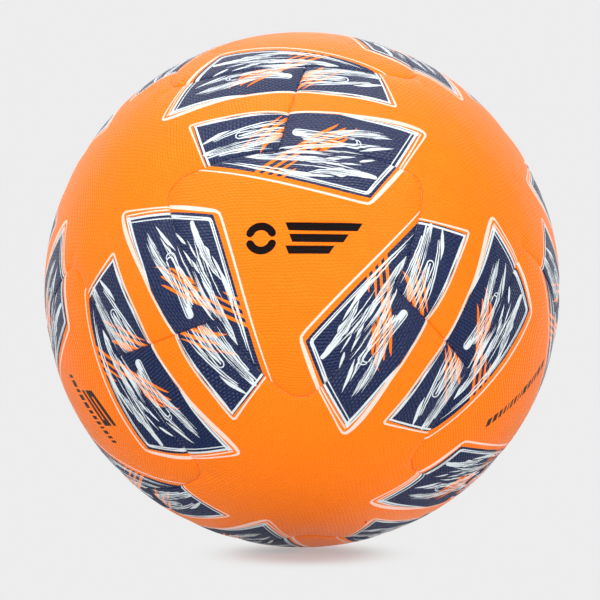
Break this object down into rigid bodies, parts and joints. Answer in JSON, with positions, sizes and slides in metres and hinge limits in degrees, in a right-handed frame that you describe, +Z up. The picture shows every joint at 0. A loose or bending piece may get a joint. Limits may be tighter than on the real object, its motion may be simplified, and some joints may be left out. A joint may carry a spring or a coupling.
{
  "type": "soccer ball",
  "caption": "Size 5 soccer ball of laminated panels, orange with navy brushed patches, over foam, carcass and bladder.",
  "frame": {"origin": "centre of the ball", "axes": "+Z up, -Y towards the corner panel with the emblem, which looks 8.5 degrees up"},
  "size_m": [0.2196, 0.2196, 0.2196],
  "materials": {
    "panel_skin": "embossed polyurethane, semi-gloss, with navy, grey and pale print",
    "foam": "fine closed-cell foam, matte",
    "adhesive": "cured clear glue, satin",
    "carcass": "wound polyester thread in rubber, matte",
    "butyl": "smooth butyl with mould lines, satin",
    "patch_rubber": "vulcanised patch, fabric grained, matte",
    "valve_rubber": "moulded rubber, satin",
    "plug_rubber": "soft moulded rubber, satin"
  },
  "bodies": {
    "root": {"corner_panel_1": "panel_skin", "corner_foam_1": "foam", "corner_panel_2": "panel_skin", "corner_foam_2": "foam", "corner_panel_3": "panel_skin", "corner_foam_3": "foam", "corner_panel_4": "panel_skin", "corner_foam_4": "foam", "corner_panel_5": "panel_skin", "corner_foam_5": "foam", "corner_panel_6": "panel_skin", "corner_foam_6": "foam", "corner_panel_7": "panel_skin", "corner_foam_7": "foam", "corner_panel_8": "panel_skin", "corner_foam_8": "foam", "face_panel_1": "panel_skin", "face_foam_1": "foam", "face_panel_2": "panel_skin", "face_foam_2": "foam", "face_panel_3": "panel_skin", "face_foam_3": "foam", "face_panel_4": "panel_skin", "face_foam_4": "foam", "face_panel_5": "panel_skin", "face_foam_5": "foam", "face_panel_6": "panel_skin", "face_foam_6": "foam", "seam_adhesive": "adhesive", "wound_carcass": "carcass", "bladder": "butyl", "valve_patch": "patch_rubber", "balance_patch": "patch_rubber", "valve_body": "valve_rubber", "valve_plug": "plug_rubber"}
  },
  "joints": []
}
